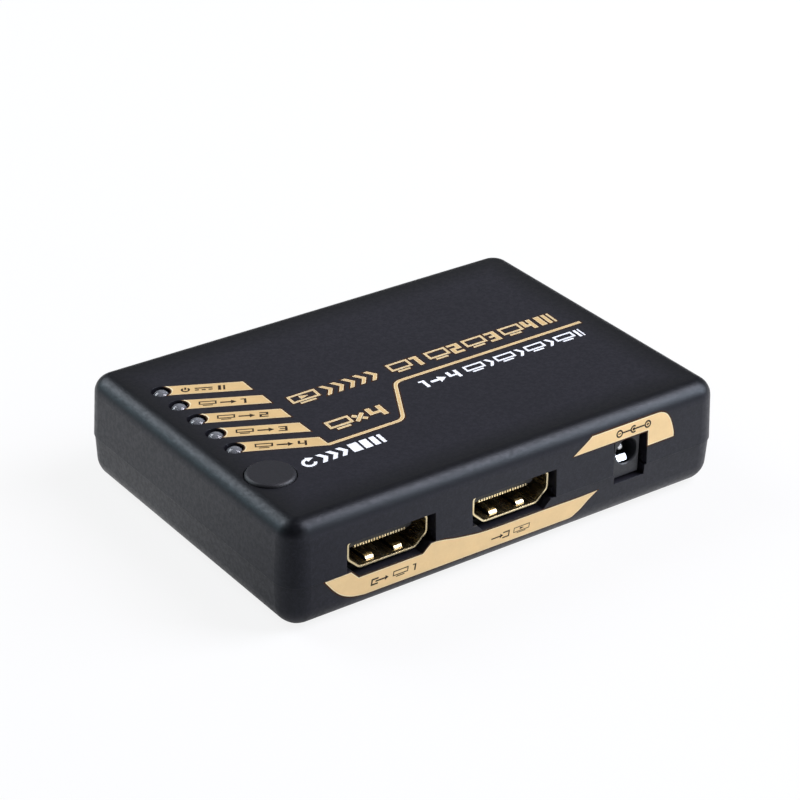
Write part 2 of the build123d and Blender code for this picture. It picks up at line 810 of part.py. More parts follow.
def make_capacitor_can():
    """Aluminium can of the filter capacitor, drawn in near its foot."""
    low, high, radius = can_base_height, can_base_height + can_height, can_diameter / 2
    waist = low + can_groove_height
    outline = [(0, low), (radius, low), (radius, waist - can_groove), (radius - can_groove, waist),
               (radius, waist + can_groove), (radius, high - can_chamfer), (radius - can_chamfer, high),
               (0, high)]
    can = revolve(Plane.XZ * make_face(Polyline(*outline, close=True)), Axis.Z)
    return set_on_board(can, can_shares)


def make_capacitor_base():
    """Moulded base plate of the filter capacitor, with two corners cut off."""
    base = block(can_base, can_base, 0, can_base_height)
    corners = base.edges().filter_by(Axis.Z).group_by(Axis.X)[-1]
    return set_on_board(chamfer(corners, can_base_chamfer), can_shares)


def make_inductor():
    """Power inductor: a core with a flange at each end."""
    outline = RectangleRounded(inductor_size, inductor_size, inductor_corner)
    waist_size = inductor_size - 2 * inductor_waist
    waist = RectangleRounded(waist_size, waist_size, inductor_corner)
    flange = extrude(outline, amount=inductor_flange_height)
    core = extrude(waist, amount=inductor_height)
    top_flange = Pos(0, 0, inductor_height - inductor_flange_height) * flange
    return set_on_board(flange + core + top_flange, inductor_shares)


def ceramic_spots():
    """Places of the ceramic capacitors: rows beside and in front of the chip, then the rest."""
    chip_x, chip_y = on_board(chip_shares)
    reach = chip_size / 2 + 2 * lead_shoulder + lead_foot + ceramic_gap
    along = [share * chip_size for share in ceramic_side_shares]
    beside = reach + ceramic_size[0] / 2
    ahead = reach + ceramic_size[1] / 2
    sides = [(chip_x + way * beside, chip_y + step) for way in (-1, 1) for step in along]
    front = [(chip_x + step, chip_y - ahead) for step in along]
    return sides + front + [on_board(shares) for shares in ceramic_shares]


def make_small_parts(size, places):
    """A group of like ceramic blocks on the board."""
    length, depth, height = size
    return [block(length, depth, board_top, board_top + height, x, y) for x, y in places]


def all_nodes():
    """Every piece by name; a list is a group of separate solids."""
    nodes = {"top_cover": make_top_cover(), "bottom_cover": make_bottom_cover(),
             "case_screws": make_case_screws(), "circuit_board": make_board()}
    shell, insulator, contacts = make_port_shell(), make_port_insulator(), make_port_contacts()
    for name, x, side in port_spots():
        nodes[f"{name}_port_shell"] = set_port(shell, x, side)
        nodes[f"{name}_port_insulator"] = set_port(insulator, x, side)
        nodes[f"{name}_port_contacts"] = [set_port(contact, x, side) for contact in contacts]
    nodes["power_jack_housing"] = set_jack(make_jack_housing())
    nodes["power_jack_pin"] = set_jack(make_jack_pin())
    nodes["power_jack_spring"] = set_jack(make_jack_spring())
    for index, name in enumerate(light_names):
        nodes[f"{name}_light"] = make_light(index)
    nodes["light_leads"] = make_light_leads()
    nodes["reset_button"] = make_button()
    nodes["switch_base"] = set_switch(make_switch_base())
    nodes["switch_dome"] = set_switch(make_switch_dome())
    nodes["switch_plunger"] = set_switch(make_switch_plunger())
    nodes["switch_cover"] = set_switch(make_switch_cover())
    nodes["switch_terminals"] = make_switch_terminals()
    nodes["splitter_chip"] = make_chip()
    nodes["splitter_chip_leads"] = make_chip_leads()
    nodes["setup_memory"] = make_memory()
    nodes["setup_memory_leads"] = make_memory_leads()
    nodes["voltage_regulator"] = make_regulator()
    nodes["voltage_regulator_leads"] = make_regulator_leads()
    nodes["clock_crystal"] = make_crystal()
    nodes["filter_capacitor_can"] = make_capacitor_can()
    nodes["filter_capacitor_base"] = make_capacitor_base()
    nodes["power_inductor"] = make_inductor()
    nodes["ceramic_capacitors"] = make_small_parts(ceramic_size, ceramic_spots())
    nodes["resistors"] = make_small_parts(resistor_size, map(on_board, resistor_shares))
    return nodes


for node_name, shape in all_nodes().items():
    solids = shape if isinstance(shape, list) else [shape]
    export_step(Compound(children=[solid for piece in solids for solid in piece.solids()]),
                f"parts/{node_name}.step")
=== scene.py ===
import math

import bmesh
import bpy
from mathutils import Matrix, Vector
from mathutils.bvhtree import BVHTree


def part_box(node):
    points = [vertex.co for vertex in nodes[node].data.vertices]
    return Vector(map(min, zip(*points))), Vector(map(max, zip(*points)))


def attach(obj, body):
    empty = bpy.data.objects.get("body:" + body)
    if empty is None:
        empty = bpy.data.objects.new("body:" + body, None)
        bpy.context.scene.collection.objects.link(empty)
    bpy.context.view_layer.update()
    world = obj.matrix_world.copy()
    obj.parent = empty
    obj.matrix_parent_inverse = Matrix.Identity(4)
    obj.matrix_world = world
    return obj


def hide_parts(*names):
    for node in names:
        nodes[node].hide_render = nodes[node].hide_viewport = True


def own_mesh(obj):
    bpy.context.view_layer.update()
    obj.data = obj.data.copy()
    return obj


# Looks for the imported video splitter. Blender works in metres, and sizes here are in millimetres unless said.
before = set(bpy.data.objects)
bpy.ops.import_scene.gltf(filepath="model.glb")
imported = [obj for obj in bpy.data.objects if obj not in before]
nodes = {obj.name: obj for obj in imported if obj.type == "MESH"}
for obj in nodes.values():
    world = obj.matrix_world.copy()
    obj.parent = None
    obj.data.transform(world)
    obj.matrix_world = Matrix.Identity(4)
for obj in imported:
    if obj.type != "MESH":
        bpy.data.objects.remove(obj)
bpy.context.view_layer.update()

MM = 0.001
case_low, case_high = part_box("top_cover")
corner_x = case_low.x / MM
corner_y = case_low.y / MM
roof_z = case_high.z / MM

# Camera, from the fit to the photograph's outline
camera_place = Vector((-0.21866, -0.29772, 0.21658))
camera_right = Vector((0.81249, -0.58270, 0.01805))
camera_up = Vector((0.26748, 0.40011, 0.87656))
camera_forward = Vector((0.51799, 0.70737, -0.48095))
camera_lens = 118.48
sensor_width = 36.0

# Painted shade on the roof of the case near its rounded edges, a darker band of colour: where it starts and ends,
# in from the wall, how far below the roof it stops, and its share of the plain tone
shade_band_start = 8.5
shade_band_end = 3.5
shade_band_drop = 2.4
shade_band_tone = 0.34

# Lumps to the metre of the materials' noises
cloud_scale = 90
scuff_scale = 900
polish_scale = 450
ink_scale = 2600
ink_patch_scale = 350
mask_scale = 800
track_scale = 260.0
flow_scale = 700
coarse_share = 0.4
plain_tint = (1.0, 1.0, 1.0, 1.0)


def socket(tree, target, value):
    """Sets a socket, or links it when the value is another node's output."""
    if isinstance(value, bpy.types.NodeSocket):
        tree.links.new(value, target)
    else:
        target.default_value = value


def add(tree, kind, inputs=None, **settings):
    """Adds a shader node, with its settings and its inputs by name or number."""
    node = tree.nodes.new("ShaderNode" + kind)
    for name, value in settings.items():
        setattr(node, name, value)
    for name, value in (inputs or {}).items():
        socket(tree, node.inputs[name], value)
    return node


def colour(red, green, blue):
    """Colour given as screen values from 0 to 255, as the linear colour Blender wants."""
    def linear(value):
        share = value / 255
        return share / 12.92 if share <= 0.04045 else ((share + 0.055) / 1.055) ** 2.4
    return linear(red), linear(green), linear(blue), 1.0


def place_of(tree):
    """The place on the piece itself, in metres."""
    return add(tree, "TexCoord").outputs["Object"]


def noise(tree, scale, detail=2.0, rough=0.5, stretch=None):
    """Noise with that many lumps to the metre, from 0 to 1."""
    place = place_of(tree)
    if stretch:
        place = add(tree, "Mapping", {"Vector": place, "Scale": stretch}).outputs["Vector"]
    inputs = {"Vector": place, "Scale": scale, "Detail": detail, "Roughness": rough}
    return add(tree, "TexNoise", inputs).outputs["Fac"]


def spread(tree, value, low, high, to_low, to_high):
    """Maps one range of values onto another, held at its ends."""
    inputs = {"Value": value, "From Min": low, "From Max": high, "To Min": to_low, "To Max": to_high}
    return add(tree, "MapRange", inputs).outputs["Result"]


def blend(tree, share, first, second):
    """Colour between two colours."""
    made = add(tree, "Mix", data_type="RGBA")
    socket(tree, made.inputs[0], share)
    socket(tree, made.inputs[6], first)
    socket(tree, made.inputs[7], second)
    return made.outputs[2]


def maths(tree, kind, first, second):
    """One sum on two values."""
    return add(tree, "Math", {0: first, 1: second}, operation=kind).outputs["Value"]


def edge_share(tree, radius):
    """How near a sharp edge a point is, from 0 to 1, and the normal rounded over that edge."""
    rounded = add(tree, "Bevel", {"Radius": radius * MM}, samples=6).outputs["Normal"]
    flat = add(tree, "NewGeometry").outputs["Normal"]
    turned = add(tree, "VectorMath", {0: rounded, 1: flat}, operation="DOT_PRODUCT").outputs["Value"]
    return spread(tree, turned, 0.995, 0.8, 0.0, 1.0), rounded


def bumped(tree, height, depth, strength, normal=None):
    """Normal roughened by a height, with the depth of the relief in millimetres."""
    inputs = {"Height": height, "Distance": depth * MM, "Strength": strength}
    if normal is not None:
        inputs["Normal"] = normal
    return add(tree, "Bump", inputs).outputs["Normal"]


def surface(name, build, fixed):
    """Material from a function that gives the linked inputs of its shader, and from fixed inputs."""
    material = bpy.data.materials.new(name)
    material.use_nodes = True
    tree = material.node_tree
    tree.nodes.clear()
    shader = add(tree, "BsdfPrincipled", {**fixed, **build(tree)})
    output = add(tree, "OutputMaterial")
    tree.links.new(shader.outputs["BSDF"], output.inputs["Surface"])
    return material


def roof_shade_band(tree):
    """Mask of the painted shade on the roof: how near a point of the roof is to its rounded edge, from 0 to 1, and
    0 below the roof.
    """
    place = add(tree, "SeparateXYZ", {0: place_of(tree)})
    near = 0.0
    for axis, wall in (("X", case_high.x), ("Y", case_high.y)):
        out = add(tree, "Math", {0: place.outputs[axis]}, operation="ABSOLUTE").outputs["Value"]
        share = spread(tree, out, wall - shade_band_start * MM, wall - shade_band_end * MM, 0.0, 1.0)
        near = maths(tree, "MAXIMUM", near, share)
    low, high = (roof_z - shade_band_drop) * MM, (roof_z - shade_band_drop / 2) * MM
    above = spread(tree, place.outputs["Z"], low, high, 0.0, 1.0)
    return maths(tree, "MULTIPLY", near, above)


def toned(base, share):
    """A colour made deeper or paler by a share, at most white."""
    return tuple(min(1.0, channel * share) for channel in base[:3]) + (1.0,)


def moulded(name, base, speck, rough, grain=3600, relief=0.012, gloss=0.5, shaded_roof=False, tint=plain_tint):
    """Moulded plastic: spark-eroded grain, faint cloudiness, edges rubbed a little lighter and, when asked, a
    painted shade along the roof's rounded edges.
    """
    def build(tree):
        fine = noise(tree, grain, 3.0, 0.6)
        coarse = noise(tree, grain * coarse_share, 2.0, 0.7)
        cloud = noise(tree, cloud_scale, 3.0)
        tone = blend(tree, spread(tree, fine, 0.35, 0.7, 0.0, 1.0), base, speck)
        dull = toned(base, 0.8)
        tone = blend(tree, spread(tree, coarse, 0.4, 0.62, 0.55, 0.0), tone, dull)
        tone = blend(tree, spread(tree, cloud, 0.35, 0.75, 0.3, 0.0), tone, dull)
        edge, rounded = edge_share(tree, 0.14)
        scuff = maths(tree, "MULTIPLY", edge, spread(tree, noise(tree, scuff_scale), 0.35, 0.65, 0.3, 1.0))
        tone = blend(tree, maths(tree, "MULTIPLY", scuff, 0.25), tone, toned(base, 2.2))
        if shaded_roof:
            # painted shade: the roof's colour darkens towards its rounded edges
            tone = blend(tree, roof_shade_band(tree), tone, toned(base, shade_band_tone))
        shine = spread(tree, coarse, 0.35, 0.65, rough + 0.06, rough - 0.06)
        height = maths(tree, "ADD", fine, coarse)
        return {"Base Color": tone, "Roughness": shine, "Normal": bumped(tree, height, relief, 0.6, rounded)}
    return surface(name, build, {"Specular IOR Level": gloss, "Specular Tint": tint})


def plated(name, base, worn, rough, grain=1500, relief=0.002):
    """Metal sheet: fine rolling marks, patches of different polish and edges worn to another tone."""
    def build(tree):
        marks = noise(tree, grain, 4.0, 0.6, (1.0, 0.12, 1.0))
        patch = noise(tree, polish_scale, 2.0)
        edge, rounded = edge_share(tree, 0.05)
        tone = blend(tree, spread(tree, patch, 0.4, 0.75, 0.0, 0.6), base, worn)
        tone = blend(tree, maths(tree, "MULTIPLY", edge, 0.5), tone, worn)
        shine = spread(tree, marks, 0.3, 0.7, rough - 0.05, rough + 0.09)
        return {"Base Color": tone, "Roughness": shine, "Normal": bumped(tree, marks, relief, 0.5, rounded)}
    return surface(name, build, {"Metallic": 1.0})


def printed(name, base, thin, rough, metallic, gloss=0.5):
    """Screen-printed ink: mesh mottle, pin-holes of thinner ink and a slightly uneven face."""
    def build(tree):
        mottle = noise(tree, ink_scale, 3.0, 0.7)
        patch = noise(tree, ink_patch_scale, 2.0)
        tone = blend(tree, spread(tree, mottle, 0.3, 0.72, 0.0, 0.55), base, thin)
        tone = blend(tree, spread(tree, patch, 0.35, 0.7, 0.35, 0.0), tone, toned(base, 0.86))
        shine = spread(tree, patch, 0.3, 0.7, rough - 0.04, rough + 0.06)
        return {"Base Color": tone, "Roughness": shine, "Normal": bumped(tree, mottle, 0.004, 0.5)}
    return surface(name, build, {"Metallic": metallic, "Specular IOR Level": gloss})


def laminate(name):
    """Circuit board: black mask over crossing tracks."""
    def build(tree):
        black, white = (0, 0, 0, 1), (1, 1, 1, 1)
        inputs = {"Vector": place_of(tree), "Scale": track_scale, "Mortar Size": 0.08, "Color1": black,
                  "Color2": black, "Mortar": white}
        runs = add(tree, "TexBrick", inputs).outputs["Color"]
        uneven = spread(tree, noise(tree, mask_scale), 0.3, 0.7, 0.0, 1.0)
        mask = blend(tree, uneven, colour(10, 12, 12), colour(18, 20, 20))
        tone = blend(tree, maths(tree, "MULTIPLY", runs, 0.6), mask, colour(34, 36, 34))
        return {"Base Color": tone, "Normal": bumped(tree, runs, 0.03, 0.5)}
    return surface(name, build, {"Roughness": 0.28, "Specular IOR Level": 0.5})


def epoxy(name):
    """Clear epoxy with faint flow marks."""
    def build(tree):
        flow = noise(tree, flow_scale, 2.0)
        return {"Roughness": spread(tree, flow, 0.3, 0.7, 0.05, 0.12), "Normal": bumped(tree, flow, 0.004, 0.3)}
    fixed = {"Base Color": (0.86, 0.88, 0.93, 1.0), "Transmission Weight": 0.8, "IOR": 1.52}
    return surface(name, build, fixed)


def make_materials():
    """Every material of the CAD nodes by its slot, and the inks."""
    made = {
        # the case's roof carries a painted shade along its rounded edges
        "case_plastic": moulded("case_plastic", colour(28, 27, 33), colour(41, 39, 48), 0.42, gloss=0.32,
                                shaded_roof=True, tint=(0.92, 1.0, 1.06, 1.0)),
        "button_plastic": moulded("button_plastic", colour(25, 25, 29), colour(35, 34, 40), 0.54, gloss=0.55,
                                  relief=0.008),
        "jack_plastic": moulded("jack_plastic", colour(40, 41, 45), colour(50, 51, 55), 0.42, relief=0.006),
        "port_plastic": moulded("port_plastic", colour(40, 41, 44), colour(50, 51, 54), 0.5, relief=0.006),
        "switch_plastic": moulded("switch_plastic", colour(24, 24, 25), colour(34, 34, 35), 0.45),
        "chip_epoxy": moulded("chip_epoxy", colour(30, 30, 32), colour(44, 44, 46), 0.5, grain=5200),
        "ferrite": moulded("ferrite", colour(52, 52, 55), colour(74, 74, 78), 0.55, grain=4200),
        "ceramic": moulded("ceramic", colour(176, 146, 104), colour(196, 168, 126), 0.4, relief=0.004),
        "resistor_film": moulded("resistor_film", colour(22, 22, 26), colour(34, 34, 40), 0.3, relief=0.003),
        "port_metal": plated("port_metal", colour(253, 238, 198), colour(238, 208, 146), 0.22),
        "contact_metal": plated("contact_metal", colour(252, 236, 196), colour(236, 206, 146), 0.22),
        "screw_steel": plated("screw_steel", colour(148, 148, 154), colour(182, 182, 188), 0.34),
        "tinned_metal": plated("tinned_metal", colour(226, 227, 230), colour(196, 197, 200), 0.26),
        "switch_steel": plated("switch_steel", colour(214, 215, 218), colour(188, 189, 192), 0.3),
        "can_aluminium": plated("can_aluminium", colour(224, 225, 228), colour(204, 205, 208), 0.26),
        "board_laminate": laminate("board_laminate"),
        "clear_epoxy": epoxy("clear_epoxy"),
        "gold_ink": printed("gold_ink", colour(239, 201, 139), colour(248, 216, 156), 0.46, 0.3),
        "plate_ink": printed("plate_ink", colour(243, 208, 149), colour(250, 219, 160), 0.46, 0.1),
        # pale ink of painted highlights: the rims round the gold and the glints at the lights' holes
        "highlight_ink": printed("highlight_ink", colour(255, 236, 190), colour(255, 244, 208), 0.42, 0.2),
        "edge_ink": printed("edge_ink", colour(66, 38, 14), colour(84, 50, 20), 0.5, 0.2, gloss=0.2),
        "white_ink": printed("white_ink", colour(252, 253, 255), colour(255, 255, 255), 0.5, 0.0),
        "dark_ink": printed("dark_ink", colour(44, 32, 20), colour(58, 42, 26), 0.5, 0.0, gloss=0.2),
    }
    return made


def dress(made):
    """Gives every CAD node the finished material of its slot."""
    for node in nodes.values():
        for number, kept in enumerate(node.material_slots):
            slot_name = kept.material.name.split(".")[0]
            node.material_slots[number].material = made[slot_name]


# Shares in the drawn marks: a numeral is drawn taller and flattened, so that its level strokes come out thinner;
# the bar of a 4 is below the middle; a display stands some strokes above its foot, which reaches out to each side;
# the head of an arrow is a share of its height; and the title's displays have thinner strokes
level_share = 0.72
crossbar_share = 0.86
stand_lift = 2.1
stand_share = 0.28
head_share = 0.75
thin_share = 0.55


def stroke(points, width):
    """Closed outline of a line of even width along a run of points."""
    path = [Vector(point) for point in points]
    runs = [(after - before).normalized() for before, after in zip(path, path[1:])]
    closed = (path[0] - path[-1]).length < 1e-6
    first = runs[-1] if closed else runs[0]
    last = runs[0] if closed else runs[-1]
    left, right = [], []
    for point, before, after in zip(path, [first] + runs, runs + [last]):
        across = Vector((-before.y - after.y, before.x + after.x))
        across = across * (width / across.dot(across))
        left.append(point + across)
        right.append(point - across)
    return left + right[::-1]


def grown(outline, distance):
    """Closed outline moved outwards by a distance."""
    points = [Vector(point) for point in outline]
    turn = sum(a.x * b.y - b.x * a.y for a, b in zip(points, points[1:] + points[:1]))
    way = 1 if turn > 0 else -1
    result = []
    for before, point, after in zip(points[-1:] + points[:-1], points, points[1:] + points[:1]):
        first, second = point - before, after - point
        if first.length < 1e-6 or second.length < 1e-6:
            result.append(point)
            continue
        first.normalize()
        second.normalize()
        across = Vector((first.y + second.y, -first.x - second.x))
        size = max(across.dot(across), 0.6)
        result.append(point + across * (2 * way * distance / size))
    return result


def arc(centre, radius, start, end, steps=18):
    """Points along an arc, with the angles in degrees."""
    angles = [math.radians(start + (end - start) * step / steps) for step in range(steps + 1)]
    return [(centre[0] + radius * math.cos(angle), centre[1] + radius * math.sin(angle)) for angle in angles]


def smooth(points, steps=5):
    """Run of points with a smooth curve passed through them."""
    path = [Vector(point) for point in points]
    ends = [2 * path[0] - path[1]] + path + [2 * path[-1] - path[-2]]
    result = []
    for a, b, c, d in zip(ends, ends[1:], ends[2:], ends[3:]):
        for step in range(steps):
            t = step / steps
            curve = 2 * b + (c - a) * t + (2 * a - 5 * b + 4 * c - d) * t * t + (3 * b - a - 3 * c + d) * t ** 3
            result.append(curve / 2)
    return result + [path[-1]]


def frame_of(origin, angle=0.0, slant=0.0, size=1.0):
    """Function that puts a mark's own places into the print's frame: turned, slanted and scaled."""
    turn = math.radians(angle)
    def put(point):
        across, up = point[0] * size, point[1] * size
        across += up * slant
        return (origin[0] + across * math.cos(turn) - up * math.sin(turn),
                origin[1] + across * math.sin(turn) + up * math.cos(turn))
    return put


def moved(outlines, put):
    """Outlines with every point put elsewhere."""
    return [[put(point) for point in outline] for outline in outlines]


def shifted(outlines, across, up=0.0):
    """Outlines moved without turning."""
    return [[(point[0] + across, point[1] + up) for point in outline] for outline in outlines]


def rounded(points, radius, steps=8):
    """Run of points with its inner corners rounded."""
    path = [Vector(point) for point in points]
    result = [path[0]]
    for before, point, after in zip(path, path[1:], path[2:]):
        first = (before - point).normalized()
        second = (after - point).normalized()
        reach = radius / math.tan(first.angle(second) / 2)
        start, end = point + first * reach, point + second * reach
        for step in range(steps + 1):
            t = step / steps
            result.append(start * (1 - t) ** 2 + point * (2 * t * (1 - t)) + end * t * t)
    return result + [path[-1]]


def digit(value, width, height, weight):
    """Numeral from 1 to 4 in straight strokes, the level ones thinner."""
    full = height / level_share
    half = weight / 2
    low, high, left, right = half, full - half, half, width - half
    middle = full / 2
    bar_up = middle * crossbar_share
    lines = {
        1: [[(0, high), (width / 2, high), (width / 2, 0)]],
        2: [[(0, high), (right, high), (right, middle), (left, middle), (left, low), (width, low)]],
        3: [[(0, high), (right, high), (right, low), (0, low)], [(half, middle), (right - half, middle)]],
        4: [[(left, full), (left, bar_up), (right - half, bar_up)], [(right, full), (right, 0)]],
    }
    shapes = [stroke(line, weight) for line in lines[value]]
    return [[(point[0], point[1] * level_share) for point in outline] for outline in shapes]


def screen(width, height, weight):
    """Outline of a flat display, in a left and a right half, over a separate foot."""
    half = weight / 2
    middle = width / 2
    low, high = stand_lift * weight, height - half
    first = [(middle, high), (half, high), (half, low), (middle, low)]
    second = [(width - across, up) for across, up in first]
    left, right = middle - width * stand_share, middle + width * stand_share
    stand = [(left, 0), (right, 0), (right, weight), (left, weight)]
    return [stroke(first, weight), stroke(second, weight), stand]


def triangle(left, low, width, height):
    """Solid triangle that points right."""
    return [[(left, low), (left + width, low + height / 2), (left, low + height)]]


def chevron(width, height, weight):
    """Open arrow head that points right, cut off flat above and below."""
    middle = height / 2
    return [[(0, 0), (weight, 0), (width, middle), (weight, height), (0, height), (width - weight, middle)]]


def arrow(length, height, weight):
    """Arrow that points right."""
    head = height * head_share
    shaft = stroke([(0, height / 2), (length - head, height / 2)], weight)
    return [shaft] + triangle(length - head, 0, head, height)


def cross(size, low, weight):
    """Times sign."""
    reach = size / 2
    level = low + reach
    first = stroke([(0, low), (size, low + size)], weight)
    return [first, stroke([(0, low + size), (reach - weight / 2, level + weight / 2)], weight),
            stroke([(reach + weight / 2, level - weight / 2), (size, low)], weight)]


def bars(height, widths, gap):
    """Run of upright bars with the given widths."""
    shapes = []
    place = 0
    for width in widths:
        shapes.append([(place, 0), (place + width, 0), (place + width, height), (place, height)])
        place += width + gap
    return shapes


def row(parts):
    """Sets groups of shapes one after another: each is a width to move on by and its shapes."""
    shapes = []
    place = 0
    for width, part in parts:
        shapes += shifted(part, place)
        place += width
    return shapes


def title_marks(height, weight):
    """A source, arrows, four numbered displays and a run of bars."""
    thin = weight * thin_share
    source = screen(5.2, height, thin) + triangle(1.9, height * 0.43, 1.6, height * 0.36)
    parts = [(6.1, source)]
    for number in range(5):
        parts.append((2.15 if number < 4 else 4.3, chevron(1.85, height, weight)))
    for number in range(1, 5):
        parts.append((4.6, screen(4.15, height, thin)))
        parts.append((2.95, digit(number, 2.1, height, weight)))
    parts.append((3.0, bars(height, (1.1, 0.7, 0.4), 0.45)))
    return row(parts)


def times_marks():
    """A display, the times sign and the numeral 4."""
    return row([(4.9, screen(4.4, 3.0, 0.48)), (2.7, cross(1.9, 0.5, 0.7)), (0, digit(4, 2.9, 3.0, 0.9))])


def ratio_marks(height, weight):
    """The numeral 1, an arrow and the numeral 4, then four displays joined by arrow heads."""
    pointer = shifted(arrow(3.0, height * 0.8, weight), 0, height * 0.1)
    parts = [(1.9, digit(1, 1.7, height, weight)), (3.5, pointer), (3.4, digit(4, 2.1, height, weight))]
    for number in range(4):
        parts.append((4.3, screen(3.8, height, weight * 0.62)))
        if number < 3:
            parts.append((1.9, chevron(1.4, height, weight)))
    parts.append((0, bars(height, (0.5, 0.3), 0.35)))
    return row(parts)


def reset_marks(height, weight):
    """Round arrow for starting again, arrow heads and a run of bars."""
    middle = height / 2
    thin = weight * 0.62
    ring = [stroke(arc((middle, middle), middle - thin / 2, 75, 345, 22), thin),
            [(middle, height * 0.62), (middle, height * 1.12), (height, height * 0.87)]]
    parts = [(height + 0.5, ring)]
    for number in range(3):
        parts.append((1.8 if number < 2 else 2.2, chevron(1.7, height, weight)))
    parts.append((0, bars(height, (1.7, 1.35, 1.0, 0.65), 0.45)))
    return row(parts)


def power_marks(height, weight):
    """Power symbol, then the symbol of direct current."""
    middle = height / 2
    switch = [stroke(arc((middle, middle), middle - weight / 2, 130, 410, 18), weight),
              stroke([(middle, middle), (middle, height)], weight)]
    current = [stroke([(0, height * 0.7), (2.6, height * 0.7)], weight)]
    for number in range(3):
        current.append(stroke([(number * 1.0, height * 0.3), (number * 1.0 + 0.6, height * 0.3)], weight))
    return row([(height + 0.7, switch), (3.4, current), (0, bars(height, (0.45, 0.3), 0.3))])


def outlet_marks(number, height, weight):
    """Arrow to a display with a numeral beside it."""
    pointer = shifted(arrow(2.4, height * 0.8, weight * 1.2), 0, height * 0.1)
    numeral = digit(number, 1.3, height, weight * 1.15)
    return row([(3.1, screen(2.6, height, weight * 0.8)), (3.0, pointer), (0, numeral)])


def outlet_plate_marks(height, weight):
    """Arrow out of a frame, a display and the numeral 1."""
    half = weight / 2
    frame_line = [(1.3, half), (half, half), (half, height - half), (1.3, height - half)]
    out = [stroke(frame_line, weight)] + shifted(arrow(2.4, height * 0.7, weight), 0.8, height * 0.15)
    return row([(4.0, out), (3.6, screen(2.8, height, weight * 0.65)), (0, digit(1, 1.0, height, weight))])


def inlet_plate_marks(height, weight):
    """Arrow into a frame and a player's triangle in a display."""
    half = weight / 2
    frame_line = [(2.2, half), (3.4, half), (3.4, height - half), (2.2, height - half)]
    into = [stroke(frame_line, weight)] + shifted(arrow(2.3, height * 0.7, weight), 0.0, height * 0.15)
    player = screen(3.1, height, weight * 0.6) + triangle(1.2, height * 0.42, 0.85, height * 0.4)
    return row([(4.3, into), (0, player)])


def polarity_marks(height, weight):
    """Plug polarity: minus outside, plus on the centre pin."""
    length, socket_x, wire_end, pin_start = 7.1, 3.55, 3.0, 3.6
    middle = height / 2
    radius = middle - weight / 2
    reach = radius - weight
    thin = weight * 0.7
    plus = length - middle
    shapes = []
    for centre in (middle, plus):
        shapes.append(stroke(arc((centre, middle), radius, 0, 360, 20), weight))
        shapes.append(stroke([(centre - reach, middle), (centre + reach, middle)], thin))
    shapes.append(stroke([(plus, middle - reach), (plus, middle + reach)], thin))
    shapes.append(stroke([(height, middle), (wire_end, middle)], weight))
    shapes.append(stroke(arc((socket_x, middle), radius, 50, 310, 18), weight))
    shapes.append(arc((socket_x, middle), weight, 0, 340, 14))
    shapes.append(stroke([(pin_start, middle), (length - height, middle)], weight))
    return shapes


# Printed decoration: heights of the layers above the surface, a hair between outlines of one ink, the widths of
# the painted highlight rim and of the dark edge round the gold, the steps that cut a print on the front wall, and
# the search
# for that wall: from far before it, at a place that is clear of windows
edge_lift = 0.010
highlight_rim_lift = 0.015
ink_lift = 0.020
mark_lift = 0.025
hair_step = 0.0003
hair_turns = 8
highlight_rim_width = 0.11
edge_spread = 0.22
cut_steps = (2.0, 0.3)
front_reach = 50.0
clear_x = 55.0


